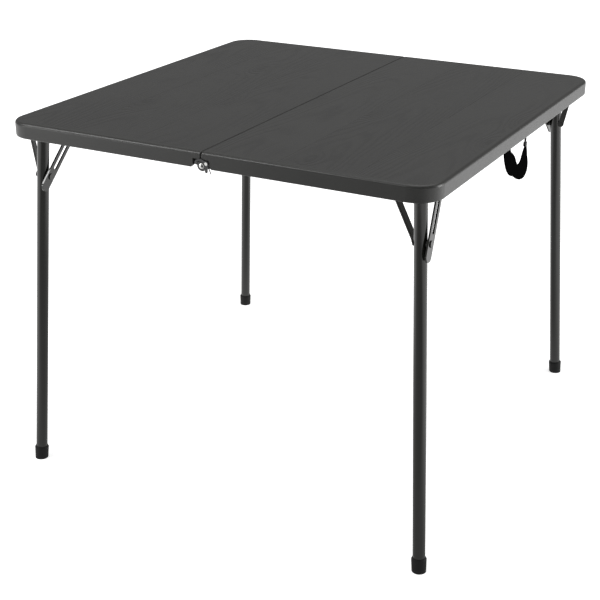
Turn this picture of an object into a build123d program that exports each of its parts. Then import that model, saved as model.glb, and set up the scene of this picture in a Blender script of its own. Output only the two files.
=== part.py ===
from build123d import *
from math import asin, cos, degrees, radians, sin
import os

# A square card table that folds in half. Origin on the floor under the middle of the top,
# X to the right along the front edge, Y to the back, Z up. Millimetres.
# Two equal moulded halves meet at a seam along Y. Each half carries two folding legs.
# The back of the table is the front turned half a turn about Z.

os.makedirs("parts", exist_ok=True)

# Driving dimensions of the whole table
table_width = 864.0
table_height = 705.0
edge_depth = 30.0
corner_radius = 48.0
rim_round = 6.0
rim_foot_round = 3.0
skirt_wall = 9.0
cut_overrun = 1.0
running_gap = 0.3

# Moulded half: a thick hollow core beside the seam and a thin bay over the legs
seam_gap = 1.0
seam_round = 2.0
seam_wall = 9.0
seam_wall_rise = 6.0
core_thickness = 13.0
bay_skin = 3.5
bay_reach = 41.0
dimple_radius = 12.0
dimple_depth = 5.0
dimple_pitch = 54.0
dimple_margin = 34.0

# Folding leg
leg_radius = 11.5
leg_wall = 1.2
leg_stub = 8.0
axle_drop = 17.5
axle_setback = 28.5
outer_lane_inset = 33.0
inner_lane_inset = 68.0
splay_side_deg = 3.4
splay_out_deg = 3.3
axle_radius = 7.0
axle_wall = 1.4
axle_end_margin = 1.5

# Places along the axle, from the leg towards the stay, for the outer and the inner lane.
# The pegged saddle stands between leg and gusset, the screwed one clear of both.
outer_pegged_place = -25.0
outer_screwed_place = -65.0
inner_pegged_place = -17.0
inner_screwed_place = 17.0
outer_gusset_reach = 52.0
inner_gusset_reach = 38.0

# Gusset strap between the axle and a lug on the side of the leg
lug_face = 8.0
lug_thickness = 1.6
gusset_foot_height = 85.0
gusset_foot_side = 14.0
gusset_width = 11.3
gusset_thickness = 1.6
gusset_groove_width = 5.0
gusset_groove_depth = 0.7
gusset_groove_shares = (0.14, 0.84)
gusset_rivet_radius = 2.2
gusset_head_radius = 4.0
gusset_head_height = 0.9

# Rubber foot cap
cap_radius = 13.0
cap_top_radius = 12.5
cap_height = 27.0
cap_base = 6.0
cap_round = 1.5
cap_trim = 3.0

# Slotted stay between leg and rail
stay_drop = 85.0
inner_stay_spare = 35.0
outer_stay_spare = 12.0
stay_width = 22.0
stay_thickness = 3.0
stay_slot_width = 8.0
stay_slot_from_stud = 16.0
stay_slot_from_pin = 20.0
stay_lever_reach = 20.0
stud_radius = 3.0
stud_washer_radius = 6.5
stud_washer_length = 3.7
stud_head_radius = 6.0
stud_head_height = 1.6
stud_back_head_height = 1.5
slide_pin_radius = 3.5
pin_end_gap = 0.9

# Rail under the top that guides the pin of the stay
rail_sheet = 1.0
rail_inside = 7.8
rail_side_depth = 20.0
rail_slot_height = 8.0
rail_end_margin = 12.0
rail_tab_length = 13.0
stud_pass_gap = 1.5

# Saddles that hold the axle, and the pads that they stand on
saddle_width = 8.0
saddle_wall = 4.2
saddle_flange_reach = 40.0
saddle_flange_thickness = 2.5
saddle_screw_rows = (17.5, 31.5)
pad_seat_rise = 11.0
pad_margin = 1.5
pegged_web_back = 7.0
peg_radius = 3.0
peg_rise = 3.5

# Screws
screw_head_radius = 4.0
screw_head_height = 2.4
screw_shank_radius = 1.6
long_screw_bite = 4.5
short_screw_bite = 2.5

# Seam hinge, one at each end of the seam
hinge_drop = 25.6
hinge_disc_radius = 9.5
hinge_pin_radius = 3.0
hinge_head_radius = 5.0
hinge_head_height = 1.1
hinge_head_recess = 2.2
barrel_length = 12.7
barrel_lug_thickness = 3.0
ear_thickness = 2.5
ear_reach = 60.0
ear_tip_height = 8.0
flange_start = 16.0
flange_width = 22.0
flange_thickness = 2.0
hinge_screw_places = (26.0, 50.0)
notch_half_width = 16.5
notch_flare = 5.0
seam_relief_length = 42.0

# Seam latch: a hook on a rivet that reaches over the barrel to a pin on the other half
latch_pivot_x = 12.4
latch_pivot_rise = 6.6
latch_pivot_radius = 4.0
latch_rivet_radius = 1.8
latch_rivet_head = 3.0
latch_thickness = 1.4
latch_front_gap = 0.4
hook_mid_radius = 12.0
hook_width = 3.4
hook_start_deg = 30.0
hook_end_deg = 145.0
hook_start_slope = 0.45
hook_wedge_reach = 48.0
catch_pin_radius = 2.0
latch_tail_x = 11.9
latch_tail_drop = 7.6
latch_tail_radius = 2.6
wire_radius = 0.9
wire_end_x = 21.5
wire_end_drop = 11.4

# Carry strap, a loop of flat webbing on two clips in the right bay
strap_inset = 13.8
strap_thickness = 3.0
strap_start_y = -65.0
strap_loop_length = 142.0
strap_loop_height = 90.0
clip_wall = 2.5
near_clip_height = 14.0
near_clip_lip = 3.0
far_clip_width = 4.0
far_clip_wall = 1.0
far_buckle_width = 8.0
far_buckle_height = 5.0
far_buckle_lap = 3.0

# Heights and half sizes that follow
half_width = table_width / 2
outer_lane = half_width - outer_lane_inset
inner_lane = half_width - inner_lane_inset
bay_start = inner_lane - bay_reach
strap_plane = half_width - strap_inset
underside_z = table_height - edge_depth
core_z = table_height - core_thickness
bay_z = table_height - bay_skin
axle_z = table_height - axle_drop
axle_y = -(half_width - axle_setback)
pad_z = axle_z + pad_seat_rise
hinge_z = table_height - hinge_drop
front_y = -half_width
strap_top_z = bay_z - near_clip_lip
half_turn = Rot(0, 0, 180)

# Stay geometry at rest
leg_length = axle_z / (cos(radians(splay_side_deg)) * cos(radians(splay_out_deg)))
stud_y = -stay_drop * sin(radians(splay_out_deg))
stud_z = -stay_drop * cos(radians(splay_out_deg))
washer_end = leg_radius + stud_washer_length
bar_start = washer_end + running_gap
bar_end = bar_start + stay_thickness
bar_middle = (bar_start + bar_end) / 2


def save(name, *solids):
    shape = solids[0] if len(solids) == 1 else Compound(children=list(solids))
    export_step(shape, f"parts/{name}.step")


def hull_of(*circles):
    outline = Sketch() + [Pos(x, y) * Circle(r) for x, y, r in circles]
    return make_hull(outline.edges())


def rod_x(radius, start, end, y=0, z=0):
    return Pos((start + end) / 2, y, z) * Rot(0, 90, 0) * Cylinder(radius, end - start)


def rod_y(radius, start, end, x=0, z=0):
    return Pos(x, (start + end) / 2, z) * Rot(90, 0, 0) * Cylinder(radius, end - start)


def rod_z(radius, start, end, x=0, y=0):
    return Pos(x, y, (start + end) / 2) * Cylinder(radius, end - start)


def block(x0, x1, y0, y1, z0, z1):
    return Pos((x0 + x1) / 2, (y0 + y1) / 2, (z0 + z1) / 2) * Box(x1 - x0, y1 - y0, z1 - z0)


def screw_up(x, y, seat_z, thickness, bite):
    head = rod_z(screw_head_radius, seat_z - thickness - screw_head_height, seat_z - thickness, x, y)
    head = fillet(head.edges().group_by(Axis.Z)[0], screw_head_height / 2)
    return head + rod_z(screw_shank_radius, seat_z - thickness, seat_z + bite, x, y)


def screw_hole(x, y, seat_z, thickness):
    return rod_z(screw_shank_radius, seat_z - thickness - cut_overrun, seat_z + cut_overrun, x, y)


def pilot(x, y, seat_z, bite):
    return rod_z(screw_shank_radius, seat_z - cut_overrun, seat_z + bite, x, y)


# The two kinds of leg, by lane: the inner one stands front left, the outer one front right
class Lane:
    def __init__(self, axle_x, lean_deg, gusset_reach, pegged_place, screwed_place, stay_spare):
        ends = (pegged_place, screwed_place, -gusset_reach, leg_radius - saddle_width / 2)
        self.axle_start = min(ends) - saddle_width / 2 - axle_end_margin
        self.axle_end = max(ends) + saddle_width / 2 + axle_end_margin / 2
        self.gusset_reach = gusset_reach
        self.pegged_x = axle_x + pegged_place
        self.screwed_x = axle_x + screwed_place
        self.tilt = Pos(axle_x, axle_y, axle_z) * Rot(0, lean_deg, 0)
        self.leg = self.tilt * Rot(-splay_out_deg, 0, 0)
        self.stay_length = stay_drop + stay_spare
        rise_deg = degrees(asin(-stud_z / self.stay_length))
        self.stay = self.tilt * Pos(0, stud_y, stud_z) * Rot(rise_deg, 0, 0)
        self.pin_rest_y = stud_y + self.stay_length * cos(radians(rise_deg))
        self.pin_folded_y = stay_drop + self.stay_length
        self.rail_x = axle_x + bar_middle
        self.rail_start = self.pin_rest_y - slide_pin_radius - rail_end_margin
        self.rail_end = self.pin_folded_y + slide_pin_radius + rail_end_margin
        self.rail_screw_rows = (self.rail_start - rail_tab_length / 2, self.rail_end + rail_tab_length / 2)
        print("leg fold range", 90 + splay_out_deg, "stay turns", rise_deg + 90 + splay_out_deg)


inner = Lane(-inner_lane, splay_side_deg, inner_gusset_reach, inner_pegged_place, inner_screwed_place,
             inner_stay_spare)
outer = Lane(outer_lane, -splay_side_deg, outer_gusset_reach, outer_pegged_place, outer_screwed_place,
             outer_stay_spare)


# Fixed hardware of one leg, at the front
ring_radius = axle_radius + running_gap + saddle_wall


def saddle_ring(lane, x, web_back):
    ring = rod_x(ring_radius, x - saddle_width / 2, x + saddle_width / 2, axle_y, axle_z)
    web = block(x - saddle_width / 2, x + saddle_width / 2, axle_y - ring_radius, axle_y + web_back,
                axle_z, pad_z)
    lid = block(x - saddle_width, x + saddle_width, axle_y - saddle_flange_reach,
                axle_y + saddle_flange_reach, pad_z, table_height)
    bore = lane.tilt * rod_x(axle_radius + running_gap, -table_width, table_width)
    return ring + web - lid - bore


def screwed_saddle(lane):
    x = lane.screwed_x
    flange = block(x - saddle_width / 2, x + saddle_width / 2, axle_y + axle_radius + saddle_wall,
                   axle_y + saddle_flange_reach, pad_z - saddle_flange_thickness, pad_z)
    holes = [screw_hole(x, axle_y + row, pad_z, saddle_flange_thickness) for row in saddle_screw_rows]
    return saddle_ring(lane, x, ring_radius) + flange - holes


def saddle_peg(lane):
    return rod_z(peg_radius, pad_z, pad_z + peg_rise, lane.pegged_x, axle_y)


def pegged_saddle(lane):
    return saddle_ring(lane, lane.pegged_x, pegged_web_back) + saddle_peg(lane)


def saddle_screws(lane):
    return [screw_up(lane.screwed_x, axle_y + row, pad_z, saddle_flange_thickness, long_screw_bite)
            for row in saddle_screw_rows]


def saddle_pads(lane):
    half = saddle_width / 2 + pad_margin
    reaches = ((lane.screwed_x, saddle_flange_reach), (lane.pegged_x, pegged_web_back))
    return [block(x - half, x + half, front_y, axle_y + reach + pad_margin, pad_z, table_height)
            for x, reach in reaches]


def saddle_pilots(lane):
    pilots = [pilot(lane.screwed_x, axle_y + row, pad_z, long_screw_bite) for row in saddle_screw_rows]
    return pilots + [saddle_peg(lane)]


rail_half = rail_inside / 2 + rail_sheet


def stay_rail(lane):
    x = lane.rail_x
    low = bay_z - rail_side_depth
    body = block(x - rail_half, x + rail_half, axle_y + lane.rail_start, axle_y + lane.rail_end,
                 low, bay_z)
    body -= block(x - rail_inside / 2, x + rail_inside / 2, axle_y + lane.rail_start - cut_overrun,
                  axle_y + lane.rail_end + cut_overrun, low - cut_overrun, bay_z - rail_sheet)
    tabs = block(x - rail_half, x + rail_half, axle_y + lane.rail_start - rail_tab_length,
                 axle_y + lane.rail_end + rail_tab_length, bay_z - rail_sheet, bay_z)
    body += fillet(tabs.edges().filter_by(Axis.Z), rail_half / 2)
    slot_length = lane.pin_folded_y - lane.pin_rest_y + rail_slot_height
    slot_middle = axle_y + (lane.pin_rest_y + lane.pin_folded_y) / 2
    slot = extrude(Plane.YZ * SlotOverall(slot_length, rail_slot_height), rail_half * 2, both=True)
    body -= Pos(x, slot_middle, axle_z) * slot
    clear = stud_washer_radius + stud_pass_gap
    body -= block(x - rail_half - cut_overrun, x - rail_half + cut_overrun * 2, axle_y + stay_drop - clear,
                  axle_y + stay_drop + clear, low - cut_overrun, axle_z + clear)
    return body - [screw_hole(x, axle_y + row, bay_z, rail_sheet) for row in lane.rail_screw_rows]


def rail_screws(lane):
    return [screw_up(lane.rail_x, axle_y + row, bay_z, rail_sheet, short_screw_bite)
            for row in lane.rail_screw_rows]


def rail_pilots(lane):
    return [pilot(lane.rail_x, axle_y + row, bay_z, short_screw_bite) for row in lane.rail_screw_rows]


# Moving pieces of one leg. They are drawn about the axle, with the leg along minus Z,
# and then leaned to their rest place.
def gusset_rivet_shank():
    return rod_y(gusset_rivet_radius, lug_face - lug_thickness, lug_face + gusset_thickness,
                 -gusset_foot_side, -gusset_foot_height)


def gusset_lug():
    half = gusset_width / 2
    outline = hull_of((0, -gusset_foot_height, half), (-gusset_foot_side, -gusset_foot_height, half))
    return Pos(0, lug_face, 0) * extrude(Plane.XZ * outline, lug_thickness)


def leg_tube(lane):
    low = -(leg_length - cap_base)
    tube = rod_z(leg_radius, low, leg_stub) + gusset_lug()
    tube -= rod_z(leg_radius - leg_wall, low - cut_overrun, leg_stub + cut_overrun)
    tube -= rod_x(axle_radius, -table_width, table_width)
    tube -= rod_x(stud_radius, -table_width, table_width, 0, -stay_drop)
    tube -= gusset_rivet_shank()
    return lane.leg * tube


def axle_tube(lane):
    tube = rod_x(axle_radius, lane.axle_start, lane.axle_end)
    return lane.leg * (tube - rod_x(axle_radius - axle_wall, -table_width, table_width))


def gusset_strap(lane):
    run = lane.gusset_reach - gusset_foot_side
    half = gusset_width / 2
    outline = hull_of((-gusset_foot_side, -gusset_foot_height, half), (-lane.gusset_reach, 0, half))
    groove = hull_of(*[(-gusset_foot_side - run * share, -gusset_foot_height * (1 - share),
                        gusset_groove_width / 2) for share in gusset_groove_shares])
    plate = Pos(0, gusset_thickness, 0) * extrude(Plane.XZ * outline, gusset_thickness)
    dent = Pos(0, gusset_groove_depth, 0) * extrude(Plane.XZ * groove, gusset_groove_depth + cut_overrun)
    lean = degrees(asin((lug_face - axle_radius) / gusset_foot_height))
    foot = Pos(0, 0, -gusset_foot_height)
    plate = Pos(0, lug_face, 0) * foot * Rot(lean, 0, 0) * foot.inverse() * (plate - dent)
    plate -= rod_z(leg_radius, -leg_length, leg_stub) + gusset_lug()
    plate -= rod_x(axle_radius, -table_width, table_width)
    return lane.leg * (plate - gusset_rivet())


def gusset_rivet():
    outside = lug_face + gusset_thickness
    head = rod_y(gusset_head_radius, outside, outside + gusset_head_height,
                 -gusset_foot_side, -gusset_foot_height)
    return gusset_rivet_shank() + head


def leg_rivets(lane):
    back = -leg_radius - stud_back_head_height
    stud = rod_x(stud_radius, back, bar_end + running_gap, 0, -stay_drop)
    stud += rod_x(stud_washer_radius, leg_radius, washer_end, 0, -stay_drop)
    stud += rod_x(stud_head_radius, bar_end + running_gap, bar_end + running_gap + stud_head_height,
                  0, -stay_drop)
    stud += rod_x(stud_head_radius, back, -leg_radius, 0, -stay_drop)
    return [lane.leg * stud, lane.leg * gusset_rivet()]


def foot_cap(lane):
    high = -(leg_length - cap_height)
    low = -(leg_length + cap_trim)
    side = Polyline((0, low), (cap_radius, low), (cap_top_radius + cap_round, high - cap_round * 2),
                    (cap_top_radius, high), (0, high), close=True)
    cap = revolve(Plane.XZ * make_face(side), Axis.Z)
    cap -= rod_z(leg_radius, -(leg_length - cap_base), high + cut_overrun)
    floor = block(-table_width, table_width, -table_width, table_width, -cap_height, 0)
    return lane.leg * cap - floor


def stay_bar(lane):
    half = stay_width / 2
    outline = hull_of((0, 0, half), (lane.stay_length, 0, half))
    outline += hull_of((0, 0, half), (-stay_lever_reach, 0, half))
    slot_start = stay_slot_from_stud
    slot_end = lane.stay_length - stay_slot_from_pin
    slot = SlotOverall(slot_end - slot_start, stay_slot_width)
    outline -= Pos((slot_start + slot_end) / 2, 0) * slot
    outline -= Circle(stud_radius + running_gap)
    outline -= Pos(lane.stay_length, 0) * Circle(slide_pin_radius)
    bar = Pos(bar_start, 0, 0) * extrude(Plane.YZ * outline, stay_thickness)
    return lane.stay * bar


def slide_pin(lane):
    reach = rail_inside / 2 - pin_end_gap
    pin = rod_x(slide_pin_radius, bar_middle - reach, bar_middle + reach, lane.stay_length, 0)
    return lane.stay * pin


# Moulded half, drawn on the right. The left one is the same turned half a turn.
def inner_floor():
    side = 2 * (half_width - skirt_wall)
    return RectangleRounded(side, side, corner_radius - skirt_wall)


def strip(x0, x1):
    return Pos((x0 + x1) / 2, 0) * Rectangle(x1 - x0, table_width)


def dimple_field():
    rows_x = int((bay_start - seam_wall - dimple_margin * 2) // dimple_pitch) + 1
    rows_y = int((table_width - skirt_wall * 2 - seam_relief_length * 2) // dimple_pitch) + 1
    middle = (seam_wall + bay_start) / 2
    places = GridLocations(dimple_pitch, dimple_pitch, rows_x, rows_y)
    return Sketch() + [Pos(middle, 0) * place * Circle(dimple_radius) for place in places]


def seam_notch():
    low = underside_z - cut_overrun
    notch = block(-notch_half_width, notch_half_width, front_y - cut_overrun, front_y + skirt_wall,
                  low, core_z)
    flare = Polyline((notch_half_width, underside_z + notch_flare), (notch_half_width, low),
                     (notch_half_width + notch_flare + cut_overrun, low), close=True)
    flare = extrude(Plane.XZ * make_face(flare), skirt_wall + cut_overrun * 2)
    notch += Pos(0, front_y + skirt_wall + cut_overrun, 0) * flare
    relief = block(0, seam_wall + cut_overrun, front_y + skirt_wall - cut_overrun,
                   front_y + skirt_wall + seam_relief_length, low, core_z)
    return notch + relief


def table_half():
    slab = extrude(Pos(0, 0, underside_z) * RectangleRounded(table_width, table_width, corner_radius),
                   edge_depth)
    slab = fillet(slab.edges().group_by(Axis.Z)[-1], rim_round)
    slab = fillet(slab.edges().group_by(Axis.Z)[0], rim_foot_round)
    half = split(slab, Plane.YZ.offset(seam_gap / 2), keep=Keep.TOP)
    half = fillet(half.edges().filter_by_position(Axis.X, 0, seam_gap), seam_round)
    low = underside_z - cut_overrun
    core_floor = inner_floor() & strip(seam_wall, half_width)
    bay_floor = inner_floor() & strip(bay_start, half_width)
    bay = extrude(Pos(0, 0, low) * bay_floor, bay_z - low)
    for pads in (saddle_pads(outer), [half_turn * pad for pad in saddle_pads(inner)]):
        bay = bay - pads
    half -= extrude(Pos(0, 0, low) * core_floor, core_z - low)
    half -= bay
    half -= extrude(Pos(0, 0, core_z - cut_overrun) * dimple_field(), cut_overrun + dimple_depth)
    half -= block(0, seam_wall + cut_overrun, -half_width + skirt_wall, half_width - skirt_wall,
                  low, underside_z + seam_wall_rise)
    half -= seam_notch()
    half -= mirror(seam_notch(), Plane.XZ)
    front = saddle_pilots(outer) + rail_pilots(outer) + ear_pilots(right_ear_y)
    back = saddle_pilots(inner) + rail_pilots(inner) + [mirror(hole, Plane.YZ)
                                                        for hole in ear_pilots(left_ear_y)]
    half -= front
    half -= [half_turn * hole for hole in back]
    return half


# Seam hinge at the front. The pieces stack along Y behind the front face.
head_y = front_y + hinge_head_recess
barrel_y = head_y + hinge_head_height
right_ear_y = barrel_y + barrel_length
left_ear_y = right_ear_y + ear_thickness + running_gap
tail_y = left_ear_y + ear_thickness + running_gap
latch_y = front_y - latch_front_gap - latch_thickness


def ear_screw_y(ear_y):
    return ear_y + ear_thickness + (flange_width - ear_thickness) / 2


def ear_pilots(ear_y):
    return [pilot(x, ear_screw_y(ear_y), core_z, long_screw_bite) for x in hinge_screw_places]


def hinge_ear(ear_y, bore_radius):
    disc = Circle(hinge_disc_radius)
    top = core_z - hinge_z
    arm = make_hull((disc + Polygon((ear_reach, top), (ear_reach, top - ear_tip_height),
                                    (flange_start, top), align=None)).edges())
    arm -= Circle(bore_radius)
    plate = Pos(0, ear_y + ear_thickness, hinge_z) * extrude(Plane.XZ * arm, ear_thickness)
    flange = block(flange_start, ear_reach, ear_y, ear_y + flange_width,
                   core_z - flange_thickness, core_z)
    holes = [screw_hole(x, ear_screw_y(ear_y), core_z, flange_thickness) for x in hinge_screw_places]
    return plate + flange - holes


def right_leaf():
    return hinge_ear(right_ear_y, hinge_pin_radius)


def left_leaf():
    leaf = mirror(hinge_ear(left_ear_y, hinge_pin_radius + running_gap), Plane.YZ)
    return leaf - catch_shaft()


def catch_place():
    turn = radians(hook_end_deg)
    return hook_mid_radius * cos(turn), hinge_z + hook_mid_radius * sin(turn)


def catch_shaft():
    x, z = catch_place()
    return rod_y(catch_pin_radius, latch_y + latch_thickness + running_gap,
                 left_ear_y + ear_thickness, x, z)


def ear_screws(ear_y):
    return [screw_up(x, ear_screw_y(ear_y), core_z, flange_thickness, long_screw_bite)
            for x in hinge_screw_places]


def hinge_pin():
    pin = rod_y(hinge_pin_radius, barrel_y, tail_y, 0, hinge_z)
    head = rod_y(hinge_head_radius, head_y, barrel_y, 0, hinge_z)
    tail = rod_y(hinge_head_radius, tail_y, tail_y + hinge_head_height, 0, hinge_z)
    return head + pin + tail


def hinge_barrel():
    barrel = rod_y(hinge_disc_radius, barrel_y, right_ear_y, 0, hinge_z)
    lug = hull_of((0, 0, hinge_disc_radius), (latch_pivot_x, latch_pivot_rise, latch_pivot_radius))
    lug = extrude(Plane.XZ * lug, barrel_lug_thickness)
    barrel += Pos(0, barrel_y + barrel_lug_thickness, hinge_z) * lug
    barrel -= rod_y(hinge_pin_radius, front_y, right_ear_y + cut_overrun, 0, hinge_z)
    return barrel - latch_rivet()


def latch_rivet():
    z = hinge_z + latch_pivot_rise
    shaft = rod_y(latch_rivet_radius, latch_y - running_gap, barrel_y + barrel_lug_thickness,
                  latch_pivot_x, z)
    head = rod_y(latch_rivet_head, latch_y - running_gap - hinge_head_height, latch_y - running_gap,
                 latch_pivot_x, z)
    return shaft + head


def latch_lever():
    hub = (latch_pivot_x, latch_pivot_rise, latch_pivot_radius)
    hook = CenterArc((0, 0), hook_mid_radius, hook_start_deg, hook_end_deg - hook_start_deg)
    hook_end = (hook @ 1).X, (hook @ 1).Y
    band = Circle(hook_mid_radius + hook_width / 2) - Circle(hook_mid_radius - hook_width / 2)
    far = hook_wedge_reach
    turn = radians(hook_end_deg)
    wedge = Polygon((0, 0), (far, far * hook_start_slope), (far, far), (-far, far),
                    (far * cos(turn), far * sin(turn)), align=None)
    shape = (band & wedge) + Pos(*hook_end) * Circle(hook_width / 2) + Pos(*hub[:2]) * Circle(hub[2])
    shape += hull_of(hub[:2] + (latch_tail_radius,), (latch_tail_x, -latch_tail_drop, latch_tail_radius))
    shape -= Pos(*hub[:2]) * Circle(latch_rivet_radius + running_gap)
    plate = extrude(Plane.XZ * shape, latch_thickness)
    wire_line = Line((latch_pivot_x + latch_pivot_radius / 2, 0, latch_pivot_rise - latch_pivot_radius / 2),
                     (wire_end_x, 0, -wire_end_drop))
    wire = sweep(Plane(wire_line @ 0, z_dir=wire_line % 0) * Circle(wire_radius), wire_line)
    wire = Pos(0, -latch_thickness / 2, 0) * wire
    return Pos(0, latch_y + latch_thickness, hinge_z) * (plate + wire)


# Carry strap. The outline is the hanging loop seen from the side of the table: each point is
# a share of the loop's span along the edge and of its drop below the edge.
strap_outside_shares = ((0, 0.15), (0.06, 0.37), (0.14, 0.54), (0.27, 0.69), (0.43, 0.79), (0.57, 0.9),
                        (0.75, 0.99), (0.88, 0.99), (0.99, 0.88), (1, 0.77), (0.94, 0.51), (0.86, 0.26))
strap_inside_shares = ((0.82, 0.25), (0.75, 0.4), (0.69, 0.53), (0.6, 0.59), (0.51, 0.5), (0.45, 0.38),
                       (0.35, 0.26), (0.25, 0.15))


def strap_point(share):
    return strap_start_y + share[0] * strap_loop_length, underside_z - share[1] * strap_loop_height


def carry_strap():
    outside = [strap_point(share) for share in strap_outside_shares]
    inside = [strap_point(share) for share in strap_inside_shares]
    near_top = [(inside[-1][0], strap_top_z), (outside[0][0], strap_top_z)]
    edge = Polyline(inside[-1], near_top[0], near_top[1], outside[0])
    loop = make_face([Spline(*outside), Line(outside[-1], inside[0]), Spline(*inside)] + list(edge.edges()))
    return Pos(strap_plane - strap_thickness / 2, 0, 0) * extrude(Plane.YZ * loop, strap_thickness)


def strap_clips():
    outside = strap_point(strap_outside_shares[0])
    inside = strap_point(strap_inside_shares[-1])
    half = strap_thickness / 2 + clip_wall
    near = block(strap_plane - half, strap_plane + half, outside[0] - clip_wall, inside[0] + clip_wall,
                 bay_z - near_clip_height, bay_z)
    far_y = (strap_point(strap_outside_shares[-1])[0] + strap_point(strap_inside_shares[0])[0]) / 2
    far_z = strap_point(strap_outside_shares[-1])[1]
    far = block(strap_plane - strap_thickness / 2, strap_plane + strap_thickness / 2,
                far_y - far_clip_width / 2, far_y + far_clip_width / 2, far_z, bay_z)
    half = strap_thickness / 2 + far_clip_wall
    buckle = block(strap_plane - half, strap_plane + half, far_y - far_buckle_width / 2,
                   far_y + far_buckle_width / 2, far_z - far_buckle_lap, far_z + far_buckle_height)
    strap = carry_strap()
    return [near - strap, far + buckle - strap]


# Everything that is fixed to one half, and the moving pieces, in both places
def leg_set(name, lane, turn):
    save("leg_tube_" + name, turn * leg_tube(lane))
    save("axle_tube_" + name, turn * axle_tube(lane))
    save("gusset_strap_" + name, turn * gusset_strap(lane))
    save("leg_rivets_" + name, *[turn * rivet for rivet in leg_rivets(lane)])
    save("foot_cap_" + name, turn * foot_cap(lane))
    save("stay_bar_" + name, turn * stay_bar(lane))
    save("slide_pin_" + name, turn * slide_pin(lane))
    save("axle_saddles_" + name, turn * screwed_saddle(lane), turn * pegged_saddle(lane))
    save("stay_rail_" + name, turn * stay_rail(lane))


def seam_end(end, half, other, turn):
    save("hinge_leaf_" + half + "_" + end, turn * right_leaf())
    save("hinge_leaf_" + other + "_" + end, turn * left_leaf())
    save("hinge_pin_" + end, turn * hinge_pin())
    save("hinge_barrel_" + end, turn * hinge_barrel())
    save("latch_rivet_" + end, turn * latch_rivet())
    save("latch_lever_" + end, turn * latch_lever())
    save("catch_pin_" + end, turn * catch_shaft())


as_drawn = Rot(0, 0, 0)
panel = table_half()
save("half_panel_right", panel)
save("half_panel_left", half_turn * panel)

leg_set("front_left", inner, as_drawn)
leg_set("front_right", outer, as_drawn)
leg_set("back_right", inner, half_turn)
leg_set("back_left", outer, half_turn)

seam_end("front", "right", "left", as_drawn)
seam_end("back", "left", "right", half_turn)

own_screws = saddle_screws(outer) + rail_screws(outer) + ear_screws(right_ear_y)
far_screws = saddle_screws(inner) + rail_screws(inner) + [mirror(screw, Plane.YZ)
                                                          for screw in ear_screws(left_ear_y)]
right_screws = own_screws + [half_turn * screw for screw in far_screws]
save("screws_right", *right_screws)
save("screws_left", *[half_turn * screw for screw in right_screws])

save("carry_strap", carry_strap())
save("strap_clips", *strap_clips())
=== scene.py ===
import bpy
import math
import numpy as np
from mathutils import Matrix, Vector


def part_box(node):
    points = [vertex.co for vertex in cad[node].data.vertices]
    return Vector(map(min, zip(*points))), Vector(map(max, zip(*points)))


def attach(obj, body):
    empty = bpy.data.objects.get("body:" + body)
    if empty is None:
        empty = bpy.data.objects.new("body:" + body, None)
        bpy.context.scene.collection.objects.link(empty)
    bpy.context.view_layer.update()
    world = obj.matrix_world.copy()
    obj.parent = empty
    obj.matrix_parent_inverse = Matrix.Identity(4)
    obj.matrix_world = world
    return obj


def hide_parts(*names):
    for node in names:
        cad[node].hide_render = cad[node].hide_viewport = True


# Folding card table, dressed for its picture. Metres, Z up, origin on the floor under the top.
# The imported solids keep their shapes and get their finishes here. The carry strap and the two
# rivet faces are new surfaces.

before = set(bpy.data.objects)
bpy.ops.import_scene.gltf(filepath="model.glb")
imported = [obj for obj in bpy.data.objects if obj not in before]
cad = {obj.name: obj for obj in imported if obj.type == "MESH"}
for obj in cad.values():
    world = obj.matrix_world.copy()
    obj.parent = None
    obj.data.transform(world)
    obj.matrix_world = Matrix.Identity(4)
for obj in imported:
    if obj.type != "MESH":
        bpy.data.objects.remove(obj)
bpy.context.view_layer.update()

cameraView = {
    "place": (1.1438, -2.19904, 1.3274),
    "turn": 0.4931,        # about Z, radians
    "dip": 0.4046,         # below level, radians
    "lens": 76.035,
    "sensor": 36.0,
    "farClip": 60,
}

def addCamera(view):
    # a pinhole camera, turned about Z from looking along Y and dipped below level
    lens = bpy.data.cameras.new("pictureCamera")
    lens.lens = view["lens"]
    lens.sensor_width = view["sensor"]
    lens.clip_end = view["farClip"]
    camera = bpy.data.objects.new("pictureCamera", lens)
    camera.location = view["place"]
    camera.rotation_euler = (math.pi / 2 - view["dip"], 0, view["turn"])
    bpy.context.scene.collection.objects.link(camera)
    bpy.context.scene.camera = camera

addCamera(cameraView)
print("camera set")

fullTurn = 6.2832
halfTurn = 3.1416
naturalBase = 2.718

def wire(tree, node, inputs):
    # each input is a value or the socket that feeds it
    for key, value in inputs.items():
        if isinstance(value, bpy.types.NodeSocket):
            tree.links.new(value, node.inputs[key])
        else:
            node.inputs[key].default_value = value

def put(tree, kind, inputs=None, **settings):
    # one node with its settings and inputs
    node = tree.nodes.new("ShaderNode" + kind)
    for key, value in settings.items():
        setattr(node, key, value)
    wire(tree, node, inputs or {})
    return node

def calc(tree, operation, *values):
    # one step of arithmetic, named by its operation
    return put(tree, "Math", dict(enumerate(values)), operation=operation).outputs[0]

def ramp(tree, value, low, high, fromOut=0.0, toOut=1.0):
    # smooth step from fromOut to toOut while value goes from low to high
    node = put(tree, "MapRange", {"Value": value, "From Min": low, "From Max": high,
                                  "To Min": fromOut, "To Max": toOut},
               interpolation_type="SMOOTHSTEP")
    return node.outputs["Result"]

def vector(tree, x=0.0, y=0.0, z=0.0):
    # three numbers joined to a vector
    return put(tree, "CombineXYZ", {"X": x, "Y": y, "Z": z}).outputs[0]

def split(tree, where):
    # a vector's X, Y and Z
    return put(tree, "SeparateXYZ", {0: where}).outputs

def distance(tree, where, point):
    # straight distance between two points
    return put(tree, "VectorMath", {0: where, 1: point}, operation="DISTANCE").outputs["Value"]

def noise(tree, where, scale, detail=2.0, roughness=0.5):
    # fractal noise from 0 to 1: detail adds finer layers, each weaker by the roughness
    return put(tree, "TexNoise", {"Vector": where, "Scale": scale, "Detail": detail,
                                  "Roughness": roughness}).outputs["Fac"]

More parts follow.
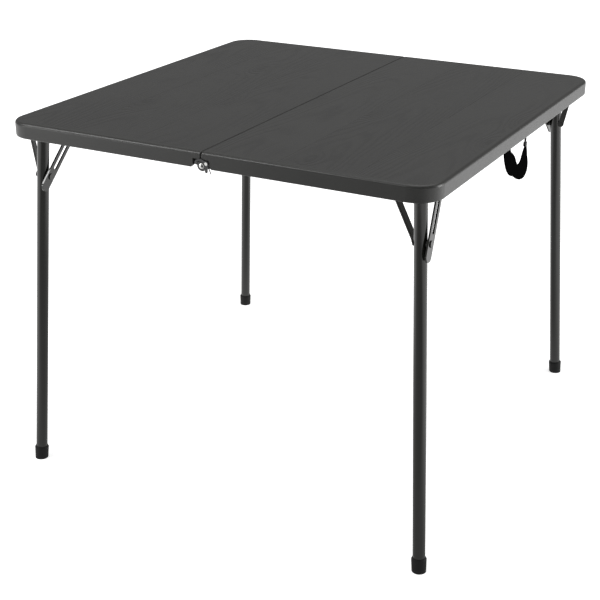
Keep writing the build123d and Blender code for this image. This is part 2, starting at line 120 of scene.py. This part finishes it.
def newGroup(name, inputs, outputs):
    # an empty node group with its sockets, and the nodes that bring them in and out
    tree = bpy.data.node_groups.new(name, "ShaderNodeTree")
    for label, kind, value in inputs:
        socket = tree.interface.new_socket(label, in_out="INPUT", socket_type="NodeSocket" + kind)
        if value is not None:
            socket.default_value = value
    for label, kind in outputs:
        tree.interface.new_socket(label, in_out="OUTPUT", socket_type="NodeSocket" + kind)
    return tree, tree.nodes.new("NodeGroupInput").outputs, tree.nodes.new("NodeGroupOutput").inputs

def useGroup(tree, group, inputs):
    # a shared effect used in a material
    node = tree.nodes.new("ShaderNodeGroup")
    node.node_tree = group
    wire(tree, node, inputs)
    return node.outputs

def shade(tree, colour, tone):
    # the colour times a tone near 1
    node = put(tree, "VectorMath", {0: colour, 1: vector(tree, tone, tone, tone)}, operation="MULTIPLY")
    return node.outputs[0]

def objectPlace(tree):
    # the place on the object in metres, in its own frame
    return put(tree, "TexCoord").outputs["Object"]

hazeShape = {
    "cloudDetail": 4.0,
    "cloudRoughness": 0.6,
    "scuffFineness": 22.0,   # scuffs to each cloud
    "scuffRoughness": 0.7,
    "scuffShare": 0.5,
}

def buildHaze(shape):
    # cloudy change of shade and gloss from moulding and handling: the tone is 1 plus the cloud,
    # the roughness takes the cloud and finer directionless scuffs
    tree, inp, out = newGroup("handlingHaze", [
        ("Vector", "Vector", None), ("Scale", "Float", 6.0), ("Shade Change", "Float", 0.06),
        ("Roughness", "Float", 0.5), ("Gloss Change", "Float", 0.08)],
        [("Tone", "Float"), ("Roughness", "Float")])
    cloud = noise(tree, inp["Vector"], inp["Scale"], shape["cloudDetail"], shape["cloudRoughness"])
    scuffScale = calc(tree, "MULTIPLY", inp["Scale"], shape["scuffFineness"])
    scuff = noise(tree, inp["Vector"], scuffScale, roughness=shape["scuffRoughness"])
    cloud = calc(tree, "SUBTRACT", cloud, 0.5)
    scuff = calc(tree, "SUBTRACT", scuff, 0.5)
    tone = calc(tree, "MULTIPLY_ADD", cloud, inp["Shade Change"], 1.0)
    both = calc(tree, "MULTIPLY_ADD", scuff, shape["scuffShare"], cloud)
    rough = calc(tree, "MULTIPLY_ADD", both, inp["Gloss Change"], inp["Roughness"])
    tree.links.new(tone, out["Tone"])
    tree.links.new(rough, out["Roughness"])
    return tree

pebbleShape = {"fineness": 2.7, "fineShare": 0.4, "detail": 1.0}

def buildPebble(shape):
    # fine skin of a moulded or coated surface: two sizes of soft bumps added, height in metres
    tree, inp, out = newGroup("pebbleSkin", [
        ("Vector", "Vector", None), ("Size", "Float", 0.0008), ("Depth", "Float", 0.00002)],
        [("Height", "Float")])
    scale = calc(tree, "DIVIDE", 1.0, inp["Size"])
    coarse = noise(tree, inp["Vector"], scale, shape["detail"])
    fine = noise(tree, inp["Vector"], calc(tree, "MULTIPLY", scale, shape["fineness"]), shape["detail"])
    total = calc(tree, "MULTIPLY_ADD", fine, shape["fineShare"], coarse)
    tree.links.new(calc(tree, "MULTIPLY", total, inp["Depth"]), out["Height"])
    return tree

grainShape = {
    "boardWidth": 0.1455,
    "grooveHalf": 0.0012,
    "grooveDepth": 0.0003,
    "ringDepth": 0.00017,
    "ringsAcross": 800.0,
    "ringsAlong": 9.0,
    "topHeight": 0.705,
    "grainReach": 0.424,     # from the middle of the table to the rounded rim
    "skinFrom": 0.0009,      # below the top, where the grain starts to show
    "skinTo": 0.0001,
    "rimFade": 0.004,
    "heartShift": 0.06,      # how far the hearts of the boards spread about their middles
    "boardStart": 13.0,      # how far apart along the grain the boards may start
    "bendAcross": 7.0,
    "bendScale": 1.6,
    "bendDetail": 3.0,
    "bendRoughness": 0.55,
    "bendRings": 5.5,        # rings that the bend pushes a line aside
    "knotAcross": 7.2,
    "knotAlong": 3.1,
    "knotTightness": 6.0,
    "knotRings": 3.2,
    "ringSharpness": 2.0,
    "patchAcross": 3.0,
    "patchScale": 2.4,
    "patchFrom": 0.34,
    "patchTo": 0.62,
    "poreAcross": 620.0,
    "poreAlong": 18.0,
    "poreRoughness": 0.6,
    "poreFrom": 0.42,
    "poreTo": 0.7,
    "poreDepth": 0.45,       # share of a ring's depth
    "boardTone": 0.12,
    "ringTone": -0.34,
    "poreTone": -0.14,
    "knotTone": -0.22,
    "knotSharpness": 3.0,
    "grooveTone": -0.5,
}

def buildPlankGrain(shape):
    # Wood grain moulded into the top. Across the boards x is cut into boards of one pitch with a
    # groove between them. In each board the rings are contour lines of a parabola across the
    # board that drifts along it, bent by noise and pushed aside by knots.
    tree, inp, out = newGroup("plankGrain", [
        ("Vector", "Vector", None), ("Board Width", "Float", shape["boardWidth"]),
        ("Groove Half", "Float", shape["grooveHalf"]), ("Groove Depth", "Float", shape["grooveDepth"]),
        ("Ring Depth", "Float", shape["ringDepth"]), ("Rings Across", "Float", shape["ringsAcross"]),
        ("Rings Along", "Float", shape["ringsAlong"]), ("Top Height", "Float", shape["topHeight"]),
        ("Grain Reach", "Float", shape["grainReach"])],
        [("Height", "Float"), ("Tone", "Float")])
    place = split(tree, inp["Vector"])
    x, y, z = place["X"], place["Y"], place["Z"]
    step = calc(tree, "DIVIDE", x, inp["Board Width"])
    board = calc(tree, "FLOOR", step)
    share = calc(tree, "SUBTRACT", step, board)
    chance = put(tree, "TexWhiteNoise", {"W": board}, noise_dimensions="1D").outputs["Value"]
    centred = calc(tree, "SUBTRACT", chance, 0.5)

    # groove between boards
    nearest = calc(tree, "MINIMUM", share, calc(tree, "SUBTRACT", 1.0, share))
    edge = calc(tree, "MULTIPLY", nearest, inp["Board Width"])
    cut = calc(tree, "SUBTRACT", 1.0, ramp(tree, edge, 0.0, inp["Groove Half"]))

    # place across the board from its heart, and along it from its own start
    heart = calc(tree, "MULTIPLY", centred, shape["heartShift"])
    across = calc(tree, "MULTIPLY", calc(tree, "SUBTRACT", share, 0.5), inp["Board Width"])
    across = calc(tree, "SUBTRACT", across, heart)
    along = calc(tree, "MULTIPLY_ADD", chance, shape["boardStart"], y)
    bendPlace = vector(tree, calc(tree, "MULTIPLY", x, shape["bendAcross"]), along)
    bend = noise(tree, bendPlace, shape["bendScale"], shape["bendDetail"], shape["bendRoughness"])

    # knots: a bell about each cell's point
    knotPlace = vector(tree, calc(tree, "MULTIPLY", x, shape["knotAcross"]),
                       calc(tree, "MULTIPLY", along, shape["knotAlong"]))
    knot = put(tree, "TexVoronoi", {"Vector": knotPlace, "Scale": 1.0}, voronoi_dimensions="2D")
    near = calc(tree, "MULTIPLY", knot.outputs["Distance"], shape["knotTightness"])
    near = calc(tree, "MULTIPLY", calc(tree, "POWER", near, 2.0), -1.0)
    swirl = calc(tree, "POWER", naturalBase, near)

    # rings
    rings = calc(tree, "MULTIPLY", calc(tree, "POWER", across, 2.0), inp["Rings Across"])
    rings = calc(tree, "MULTIPLY_ADD", along, inp["Rings Along"], rings)
    rings = calc(tree, "MULTIPLY_ADD", bend, shape["bendRings"], rings)
    rings = calc(tree, "MULTIPLY_ADD", swirl, shape["knotRings"], rings)
    wave = calc(tree, "SINE", calc(tree, "MULTIPLY", rings, fullTurn))
    wave = calc(tree, "POWER", calc(tree, "MULTIPLY_ADD", wave, 0.5, 0.5), shape["ringSharpness"])
    patchPlace = vector(tree, calc(tree, "MULTIPLY", x, shape["patchAcross"]), along)
    patch = noise(tree, patchPlace, shape["patchScale"])
    line = calc(tree, "MULTIPLY", wave, ramp(tree, patch, shape["patchFrom"], shape["patchTo"]))

    # pores
    porePlace = vector(tree, calc(tree, "MULTIPLY", x, shape["poreAcross"]),
                       calc(tree, "MULTIPLY", y, shape["poreAlong"]))
    pore = noise(tree, porePlace, 1.0, roughness=shape["poreRoughness"])
    pore = ramp(tree, pore, shape["poreFrom"], shape["poreTo"])

    # only on the flat of the top, fading before the rounded rim
    level = ramp(tree, z, calc(tree, "SUBTRACT", inp["Top Height"], shape["skinFrom"]),
                 calc(tree, "SUBTRACT", inp["Top Height"], shape["skinTo"]))
    far = calc(tree, "MAXIMUM", calc(tree, "ABSOLUTE", x), calc(tree, "ABSOLUTE", y))
    rim = ramp(tree, far, calc(tree, "SUBTRACT", inp["Grain Reach"], shape["rimFade"]),
               inp["Grain Reach"], 1.0, 0.0)
    here = calc(tree, "MULTIPLY", level, rim)

    poreDepth = calc(tree, "MULTIPLY", inp["Ring Depth"], shape["poreDepth"])
    depth = calc(tree, "MULTIPLY", line, inp["Ring Depth"])
    depth = calc(tree, "MULTIPLY_ADD", pore, poreDepth, depth)
    depth = calc(tree, "MULTIPLY_ADD", cut, inp["Groove Depth"], depth)
    height = calc(tree, "MULTIPLY", calc(tree, "MULTIPLY", depth, here), -1.0)
    dark = calc(tree, "MULTIPLY", centred, shape["boardTone"])
    dark = calc(tree, "MULTIPLY_ADD", line, shape["ringTone"], dark)
    dark = calc(tree, "MULTIPLY_ADD", pore, shape["poreTone"], dark)
    knotCore = calc(tree, "POWER", swirl, shape["knotSharpness"])
    dark = calc(tree, "MULTIPLY_ADD", knotCore, shape["knotTone"], dark)
    dark = calc(tree, "MULTIPLY_ADD", cut, shape["grooveTone"], dark)
    tree.links.new(height, out["Height"])
    tree.links.new(calc(tree, "MULTIPLY_ADD", dark, here, 1.0), out["Tone"])
    return tree

weaveShape = {
    "thread": 0.0011,
    "depth": 0.0003,
    "columnWidth": 1.3,      # in threads
    "rowFlatness": 0.6,
    "columnFlatness": 0.5,
}

def buildWeave(shape):
    # Flat webbing. U runs along the strap in metres and V across it. The height is the product of
    # a ridge along U and one along V, and every second column is shifted by half a thread.
    tree, inp, out = newGroup("webbingWeave", [
        ("UV", "Vector", None), ("Thread", "Float", shape["thread"]), ("Depth", "Float", shape["depth"])],
        [("Height", "Float"), ("Gap", "Float")])
    place = split(tree, inp["UV"])
    row = calc(tree, "DIVIDE", place["X"], inp["Thread"])
    column = calc(tree, "DIVIDE", place["Y"], calc(tree, "MULTIPLY", inp["Thread"], shape["columnWidth"]))
    shift = calc(tree, "MULTIPLY", calc(tree, "MODULO", calc(tree, "FLOOR", column), 2.0), 0.5)

    def ridgeOver(threads, flatness):
        # half a sine over each thread, raised to the flatness
        wave = calc(tree, "ABSOLUTE", calc(tree, "SINE", calc(tree, "MULTIPLY", threads, halfTurn)))
        return calc(tree, "POWER", wave, flatness)

    ridge = calc(tree, "MULTIPLY", ridgeOver(calc(tree, "ADD", row, shift), shape["rowFlatness"]),
                 ridgeOver(column, shape["columnFlatness"]))
    tree.links.new(calc(tree, "MULTIPLY", ridge, inp["Depth"]), out["Height"])
    tree.links.new(calc(tree, "SUBTRACT", 1.0, ridge), out["Gap"])
    return tree

haze = buildHaze(hazeShape)
pebble = buildPebble(pebbleShape)
plankGrain = buildPlankGrain(grainShape)
weave = buildWeave(weaveShape)
print("shared effects built")

def newMaterial(name, finish):
    # a material with nothing but its shader, set to its specular level or to metal
    material = bpy.data.materials.new(name)
    material.use_nodes = True
    tree = material.node_tree
    tree.nodes.clear()
    kind = "Metallic" if "metallic" in finish else "Specular IOR Level"
    shader = put(tree, "BsdfPrincipled", {kind: finish.get("metallic", finish.get("specular"))})
    put(tree, "OutputMaterial", {"Surface": shader.outputs[0]})
    return material, tree, shader

def hazeOver(tree, place, finish):
    # tone and roughness from the shared haze
    return useGroup(tree, haze, {
        "Vector": place, "Scale": finish["hazeScale"], "Shade Change": finish["shadeChange"],
        "Roughness": finish["roughness"], "Gloss Change": finish["glossChange"]})

def skinOver(tree, place, finish):
    # height in metres from the shared pebbles
    return useGroup(tree, pebble, {"Vector": place, "Size": finish["skinSize"],
                                   "Depth": finish["skinDepth"]})["Height"]

def feed(tree, shader, finish, tone, roughness, height):
    # colour times tone, roughness, and the height as a bump in metres
    bump = put(tree, "Bump", {"Height": height, "Strength": 1.0, "Distance": 1.0})
    tree.links.new(shade(tree, finish["colour"], tone), shader.inputs["Base Color"])
    tree.links.new(roughness, shader.inputs["Roughness"])
    tree.links.new(bump.outputs["Normal"], shader.inputs["Normal"])

topFinish = {
    "colour": (0.0192, 0.0192, 0.0178),
    "roughness": 0.37,
    "glossChange": 0.1,
    "specular": 0.42,
    "hazeScale": 5.0,
    "shadeChange": 0.6,
    "skinSize": 0.0012,
    "skinDepth": 0.00003,
}

def mouldedTop(finish):
    # moulded plastic: the tones of haze and wood grain multiplied, their heights added to the skin
    material, tree, shader = newMaterial("mouldedTop", finish)
    place = objectPlace(tree)
    cloud = hazeOver(tree, place, finish)
    grain = useGroup(tree, plankGrain, {"Vector": place})
    tone = calc(tree, "MULTIPLY", cloud["Tone"], grain["Tone"])
    height = calc(tree, "ADD", grain["Height"], skinOver(tree, place, finish))
    feed(tree, shader, finish, tone, cloud["Roughness"], height)
    return material

coatFinish = {
    "colour": (0.0068, 0.0069, 0.0052),
    "roughness": 0.12,
    "glossChange": 0.06,
    "specular": 0.5,
    "hazeScale": 9.0,
    "shadeChange": 0.12,
    "skinSize": 0.0011,
    "skinDepth": 0.000018,
}

steelFinish = {
    "colour": (0.03, 0.03, 0.031),
    "roughness": 0.42,
    "glossChange": 0.25,
    "specular": 0.5,
    "hazeScale": 90.0,
    "shadeChange": 0.5,
    "skinSize": 0.0008,
    "skinDepth": 0.00002,
}

nylonFinish = {
    "colour": (0.007, 0.007, 0.007),
    "roughness": 0.48,
    "glossChange": 0.15,
    "specular": 0.3,
    "hazeScale": 60.0,
    "shadeChange": 0.25,
    "skinSize": 0.001,
    "skinDepth": 0.00003,
}

def evenCoat(name, finish):
    # haze over a skin of soft bumps: the legs' powder coat with its slight orange peel, the
    # black plated hinge steel and the black nylon
    material, tree, shader = newMaterial(name, finish)
    place = objectPlace(tree)
    cloud = hazeOver(tree, place, finish)
    feed(tree, shader, finish, cloud["Tone"], cloud["Roughness"], skinOver(tree, place, finish))
    return material

zincFinish = {
    "colour": (0.6, 0.6, 0.585),
    "roughness": 0.34,
    "glossChange": 0.3,
    "metallic": 1.0,
    "hazeScale": 160.0,
    "shadeChange": 0.3,
    "skinSize": 0.0006,
    "skinDepth": 0.00001,
    # painted shade: how far the zinc darkens in a rivet's hollow
    "paintedShadeTone": -0.95,
}

def zincPlate(finish):
    # bright plated steel with dull spots; the tone falls with the painted shade in a hollow,
    # where a mesh carries one
    material, tree, shader = newMaterial("zincPlate", finish)
    place = objectPlace(tree)
    cloud = hazeOver(tree, place, finish)
    hollow = put(tree, "Attribute", attribute_name="paintedHollowShade").outputs["Fac"]
    tone = calc(tree, "MULTIPLY_ADD", hollow, finish["paintedShadeTone"], 1.0)
    tone = calc(tree, "MULTIPLY", cloud["Tone"], tone)
    feed(tree, shader, finish, tone, cloud["Roughness"], skinOver(tree, place, finish))
    return material

capFinish = {
    "colour": (0.008, 0.008, 0.0082),
    "roughness": 0.62,
    "glossChange": 0.2,
    "specular": 0.2,
    "hazeScale": 40.0,
    "shadeChange": 0.25,
    "skinSize": 0.0009,
    "skinDepth": 0.00004,
    "ringPitch": 0.0032,
    "ringDepth": 0.00006,
    "floorWear": 0.006,      # height up to which the floor has rubbed the rubber paler
    "wornTone": 0.9,
}

def capRubber(finish):
    # matt rubber: a sine of the height makes faint moulding rings, and a ramp the paler foot
    material, tree, shader = newMaterial("capRubber", finish)
    place = objectPlace(tree)
    z = split(tree, place)["Z"]
    cloud = hazeOver(tree, place, finish)
    ring = calc(tree, "SINE", calc(tree, "MULTIPLY", z, fullTurn / finish["ringPitch"]))
    height = calc(tree, "MULTIPLY_ADD", ring, finish["ringDepth"], skinOver(tree, place, finish))
    worn = ramp(tree, z, 0.0, finish["floorWear"], 1.0, 0.0)
    tone = calc(tree, "MULTIPLY_ADD", worn, finish["wornTone"], cloud["Tone"])
    feed(tree, shader, finish, tone, cloud["Roughness"], height)
    return material

webbingFinish = {
    "colour": (0.004, 0.004, 0.0041),
    "roughness": 0.62,
    "glossChange": 0.2,
    "specular": 0.0,
    "hazeScale": 70.0,
    "shadeChange": 0.3,
    "gapTone": -0.55,
}

def webbing(finish):
    # woven polypropylene: dull black threads, darker in the gaps
    material, tree, shader = newMaterial("webbing", finish)
    threads = useGroup(tree, weave, {"UV": put(tree, "UVMap").outputs[0]})
    cloud = hazeOver(tree, objectPlace(tree), finish)
    tone = calc(tree, "MULTIPLY_ADD", threads["Gap"], finish["gapTone"], cloud["Tone"])
    feed(tree, shader, finish, tone, cloud["Roughness"], threads["Height"])
    return material

finishes = {
    "mouldedTop": mouldedTop(topFinish),
    "powderCoat": evenCoat("powderCoat", coatFinish),
    "capRubber": capRubber(capFinish),
    "zincPlate": zincPlate(zincFinish),
    "blackSteel": evenCoat("blackSteel", steelFinish),
    "blackNylon": evenCoat("blackNylon", nylonFinish),
    "webbing": webbing(webbingFinish),
}

# the start of a node's name, and its finish
nodeFinish = {
    "half_panel": "mouldedTop", "leg_tube": "powderCoat", "axle_tube": "powderCoat",
    "gusset_strap": "powderCoat", "stay_bar": "powderCoat", "stay_rail": "powderCoat",
    "foot_cap": "capRubber", "hinge_leaf": "blackSteel", "hinge_barrel": "blackSteel",
    "hinge_pin": "zincPlate", "latch_rivet": "zincPlate", "latch_lever": "blackSteel",
    "catch_pin": "zincPlate", "screws": "zincPlate", "leg_rivets": "powderCoat",
    "slide_pin": "zincPlate", "axle_saddles": "blackNylon", "strap_clips": "blackNylon",
    "carry_strap": "webbing",
}

for name, node in cad.items():
    start = next(key for key in nodeFinish if name.startswith(key))
    node.data.materials.clear()
    node.data.materials.append(finishes[nodeFinish[start]])
print("finishes on", len(cad), "nodes")

def gridObject(name, points, finish, body, closeColumns=False, uv=None):
    # points is rows by columns by 3; neighbouring points are joined by quads
    rows, columns = points.shape[:2]
    index = np.arange(rows * columns).reshape(rows, columns)
    if closeColumns:
        index = np.hstack([index, index[:, :1]])
    quads = np.stack([index[:-1, :-1], index[:-1, 1:], index[1:, 1:], index[1:, :-1]], axis=-1)
    mesh = bpy.data.meshes.new(name)
    mesh.from_pydata(points.reshape(-1, 3).tolist(), [], quads.reshape(-1, 4).tolist())
    mesh.update()
    mesh.polygons.foreach_set("use_smooth", np.ones(len(mesh.polygons), bool))
    if uv is not None:
        corner = np.empty(len(mesh.loops), np.int32)
        mesh.loops.foreach_get("vertex_index", corner)
        mesh.uv_layers.new(name="UVMap").uv.foreach_set("vector", uv.reshape(-1, 2)[corner].ravel())
    mesh.materials.append(finishes[finish])
    piece = bpy.data.objects.new(name, mesh)
    bpy.context.scene.collection.objects.link(piece)
    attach(piece, body)
    return piece

def smoothPath(points, count):
    # Piecewise cubics through the points, with slopes from their neighbours, taken at even
    # steps of the length of the chords between them.
    lengths = np.linalg.norm(np.diff(points, axis=0), axis=1)
    at = np.concatenate([[0], np.cumsum(lengths)])
    slope = np.gradient(points, at, axis=0)
    t = np.linspace(0, at[-1], count)
    k = np.clip(np.searchsorted(at, t) - 1, 0, len(at) - 2)
    span = (at[k + 1] - at[k])[:, None]
    s = ((t - at[k])[:, None]) / span
    return ((2 * s**3 - 3 * s**2 + 1) * points[k] + (s**3 - 2 * s**2 + s) * span * slope[k]
            + (3 * s**2 - 2 * s**3) * points[k + 1] + (s**3 - s**2) * span * slope[k + 1])

strapSizes = {
    "plane": 0.4182,          # x of the hanging loop
    "width": 0.030,
    "thickness": 0.0016,
    "startY": -0.065,
    "span": 0.142,
    "edgeHeight": 0.675,      # underside of the rim
    "drop": 0.090,
    "pleats": 2.5,
    "pleatDepth": 0.0036,     # most that a pleat stands off the plane, each way
    "farDepth": 0.0011,       # the same at the far end, where the webbing is bundled tight
    "farFrom": 0.62,          # share of the length where the bundle starts to tighten
    "sway": 0.0012,
    "swayTurn": 7.0,          # radians of sway from end to end
    "steps": 150,
    "across": 25,
}

# stations of the loop, each the outer and the inner edge as shares of the span and of the drop
strapStations = [
    ((0.0, -0.24), (0.25, -0.24)), ((0.0, 0.0), (0.25, -0.03)), ((0.0, 0.15), (0.25, 0.15)),
    ((0.06, 0.37), (0.35, 0.26)), ((0.14, 0.54), (0.45, 0.38)), ((0.27, 0.69), (0.51, 0.5)),
    ((0.43, 0.79), (0.555, 0.565)), ((0.57, 0.9), (0.6, 0.59)), ((0.75, 0.985), (0.64, 0.575)),
    ((0.88, 0.985), (0.69, 0.53)), ((0.985, 0.88), (0.72, 0.465)), ((1.0, 0.77), (0.75, 0.4)),
    ((0.94, 0.51), (0.785, 0.325)), ((0.86, 0.26), (0.82, 0.25)),
]

def carryStrap(sizes, stations):
    # Each row joins the outer edge to the inner one. Where they come nearer than the webbing's
    # width, the spare width stands off the plane in pleats, as a wave across the strap.
    shares = np.array(stations)
    low = np.array([sizes["startY"], sizes["edgeHeight"]])
    step = np.array([sizes["span"], -sizes["drop"]])
    outer = smoothPath(low + shares[:, 0] * step, sizes["steps"])
    inner = smoothPath(low + shares[:, 1] * step, sizes["steps"])
    t = np.linspace(0, 1, sizes["across"])[None, :, None]
    flatYZ = outer[:, None, :] * (1 - t) + inner[:, None, :] * t
    chord = np.linalg.norm(outer - inner, axis=1)
    spare = np.clip(1 - (chord / sizes["width"])**2, 0, 1)**0.5
    wave = np.sin(np.pi * 2 * sizes["pleats"] * t[..., 0])
    along = np.linspace(0, 1, sizes["steps"])[:, None]
    tight = np.clip((along - sizes["farFrom"]) / (1 - sizes["farFrom"]), 0, 1)
    tight = tight * tight * (3 - 2 * tight)
    depth = sizes["pleatDepth"] * (1 - tight) + sizes["farDepth"] * tight
    x = sizes["plane"] + depth * spare[:, None] * wave
    x = x + sizes["sway"] * np.sin(along * sizes["swayTurn"]) * np.sin(np.pi * t[..., 0])
    points = np.dstack([x, flatYZ[..., 0], flatYZ[..., 1]])
    middle = points[:, sizes["across"] // 2]
    run = np.concatenate([[0], np.cumsum(np.linalg.norm(np.diff(middle, axis=0), axis=1))])
    uv = np.dstack([np.repeat(run[:, None], sizes["across"], 1),
                    np.repeat(np.linspace(0, sizes["width"], sizes["across"])[None], sizes["steps"], 0)])
    piece = gridObject("carryStrap", points, "webbing", "right_half", uv=uv)
    wall = piece.modifiers.new("wall", "SOLIDIFY")
    wall.thickness = sizes["thickness"]
    wall.offset = 0
    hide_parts("carry_strap")

carryStrap(strapSizes, strapStations)

rivetFace = {
    "radius": 0.0047,
    "dome": 0.0009,
    "lift": 0.00005,          # of the dome's edge off the pin's head
    "firstRing": 0.02,        # radius of the innermost ring, as a share
    "rings": 40,
    "spokes": 96,
    "hollowSide": 0.0018,
    "hollowRadius": 0.0022,
    "hollowDepth": 0.0005,
    "paintedHollowShade": 0.0027,    # radius of the painted shade over the hollow
    "hollowSharpness": 4,
}

def hingeRivetFace(name, node, side, body, sizes):
    # A dome over the pin's head, height falling with the square of the radius, less a round
    # hollow beside its middle, like the rolled end of a hollow rivet.
    low, high = (np.array(corner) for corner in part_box(node))
    headY = low[1] if side < 0 else high[1]
    centre = (low + high) / 2
    r = np.linspace(sizes["firstRing"], 1, sizes["rings"])[:, None] * sizes["radius"]
    turn = np.linspace(0, 2 * np.pi, sizes["spokes"] + 1)[None, :-1]
    x = r * np.cos(turn)
    z = r * np.sin(turn)
    away = np.hypot(x - sizes["hollowSide"], z)
    hollow = np.exp(-(away / sizes["hollowRadius"])**sizes["hollowSharpness"])
    paintedShade = np.exp(-(away / sizes["paintedHollowShade"])**sizes["hollowSharpness"])
    dome = sizes["dome"] * (1 - (r / sizes["radius"])**2)
    height = dome - sizes["hollowDepth"] * hollow + sizes["lift"]
    points = np.dstack([centre[0] + x * -side, headY + side * height, centre[2] + z])
    piece = gridObject(name, points, "zincPlate", body, closeColumns=True)
    piece.data.flip_normals()
    # painted shade: the zinc's colour darkened in and about the hollow, one value per point
    shadow = piece.data.attributes.new("paintedHollowShade", "FLOAT", "POINT")
    shadow.data.foreach_set("value", paintedShade.astype(np.float32).ravel())

hingeRivetFace("rivetFaceFront", "hinge_pin_front", -1, "right_half", rivetFace)
hingeRivetFace("rivetFaceBack", "hinge_pin_back", 1, "left_half", rivetFace)
print("rivet faces built")

studio = {
    "floorHalf": 14.0,
    "floorColour": (0.82, 0.82, 0.82),
    "floorLift": 0.6,                # towards white in the camera's view, near the table
    "whiteFrom": 1.4,                # from here to whiteTo the lift grows to 1
    "whiteTo": 3.0,
    "floorInGloss": 0.62,            # share of the floor's colour that reflections see, so reflections see the floor painted darker
    "paintedReflectionGlow": 1.14,              # painted reflection: light that bright parts of the floor add to reflections only
    "darkSide": (0.6, -2.3, 0.0),    # middle of the part before the table where the painted reflection is dim
    "darkFrom": 1.3,
    "darkTo": 2.3,
    "shadeSide": (0.1, -0.25, 0.0),  # middle of the painted shade under the table, in what reflections see
    "shadeFrom": 0.4,
    "shadeTo": 1.1,
    "shadeDim": 0.3,
    "skyForDiffuse": 0.45,
    "skyForGloss": 0.33,
    "lamps": [
        # name, place, aim, width, height, watts
        ("topLamp", (0.2, 0.4, 3.4), (0.0, 0.0, 0.7), 3.0, 3.0, 50.0),
        ("rimLamp", (-2.1, -2.0, 3.0), (0.0, 0.0, 0.7), 1.7, 0.8, 60.0),
        ("leftLamp", (-1.3, -1.5, 0.85), (-0.4, -0.43, 0.69), 0.5, 0.5, 5.0),
        ("rightLamp", (3.4, 1.6, 1.2), (0.3, 0.0, 0.6), 1.0, 2.0, 70.0),
    ],
}

def addFloor(sizes):
    # Pale floor that takes the shadow and is lifted towards white where the camera sees it.
    # What reflections see of it is a painted reflection: a glow that grows from dim before the table and
    # painted shade under it to bright beyond.
    half = sizes["floorHalf"]
    corners = [(-half, -half, 0), (half, -half, 0), (half, half, 0), (-half, half, 0)]
    mesh = bpy.data.meshes.new("floor")
    mesh.from_pydata(corners, [], [(0, 1, 2, 3)])
    material = bpy.data.materials.new("floorPaint")
    material.use_nodes = True
    tree = material.node_tree
    tree.nodes.clear()
    path = put(tree, "LightPath").outputs
    place = objectPlace(tree)
    tone = calc(tree, "MULTIPLY_ADD", path["Is Glossy Ray"], sizes["floorInGloss"] - 1.0, 1.0)
    diffuse = put(tree, "BsdfDiffuse", {"Color": shade(tree, sizes["floorColour"], tone)})
    before = distance(tree, place, sizes["darkSide"])
    under = distance(tree, place, sizes["shadeSide"])
    # painted reflection, with painted shade under the table: a glow that only reflections see
    bright = calc(tree, "MULTIPLY",
                  ramp(tree, before, sizes["darkFrom"], sizes["darkTo"], 0.0, sizes["paintedReflectionGlow"]),
                  ramp(tree, under, sizes["shadeFrom"], sizes["shadeTo"], sizes["shadeDim"], 1.0))
    seen = ramp(tree, under, sizes["whiteFrom"], sizes["whiteTo"], sizes["floorLift"], 1.0)
    strength = calc(tree, "MULTIPLY_ADD", path["Is Glossy Ray"], bright,
                    calc(tree, "MULTIPLY", path["Is Camera Ray"], seen))
    lift = put(tree, "Emission", {"Color": (1, 1, 1, 1), "Strength": strength})
    both = put(tree, "AddShader", {0: diffuse.outputs[0], 1: lift.outputs[0]})
    put(tree, "OutputMaterial", {"Surface": both.outputs[0]})
    mesh.materials.append(material)
    floor = bpy.data.objects.new("floor", mesh)
    bpy.context.scene.collection.objects.link(floor)

def addSky(sizes):
    # white to the camera and through glass, one grey for reflections and one for the light
    world = bpy.data.worlds.new("studioSky")
    world.use_nodes = True
    tree = world.node_tree
    tree.nodes.clear()
    path = put(tree, "LightPath").outputs
    glossStep = sizes["skyForGloss"] - sizes["skyForDiffuse"]
    strength = calc(tree, "MULTIPLY_ADD", path["Is Glossy Ray"], glossStep, sizes["skyForDiffuse"])
    seen = calc(tree, "MAXIMUM", path["Is Camera Ray"], path["Is Transmission Ray"])
    strength = calc(tree, "MULTIPLY_ADD", seen, 1.0 - sizes["skyForDiffuse"], strength)
    background = put(tree, "Background", {"Color": (1, 1, 1, 1), "Strength": strength})
    put(tree, "OutputWorld", {"Surface": background.outputs[0]})
    bpy.context.scene.world = world

def addLamps(sizes):
    # rectangular lamps, each turned so that it faces its aim
    for name, place, aim, width, height, watts in sizes["lamps"]:
        lamp = bpy.data.lights.new(name, "AREA")
        lamp.shape = "RECTANGLE"
        lamp.size = width
        lamp.size_y = height
        lamp.energy = watts
        holder = bpy.data.objects.new(name, lamp)
        away = np.array(place) - np.array(aim)
        flat = math.hypot(away[0], away[1])
        holder.location = place
        holder.rotation_euler = (math.atan2(flat, away[2]), 0, math.atan2(away[0], -away[1]))
        bpy.context.scene.collection.objects.link(holder)

addFloor(studio)
addSky(studio)
addLamps(studio)
bpy.context.scene.view_settings.view_transform = "Standard"
print("floor, sky and lamps set")
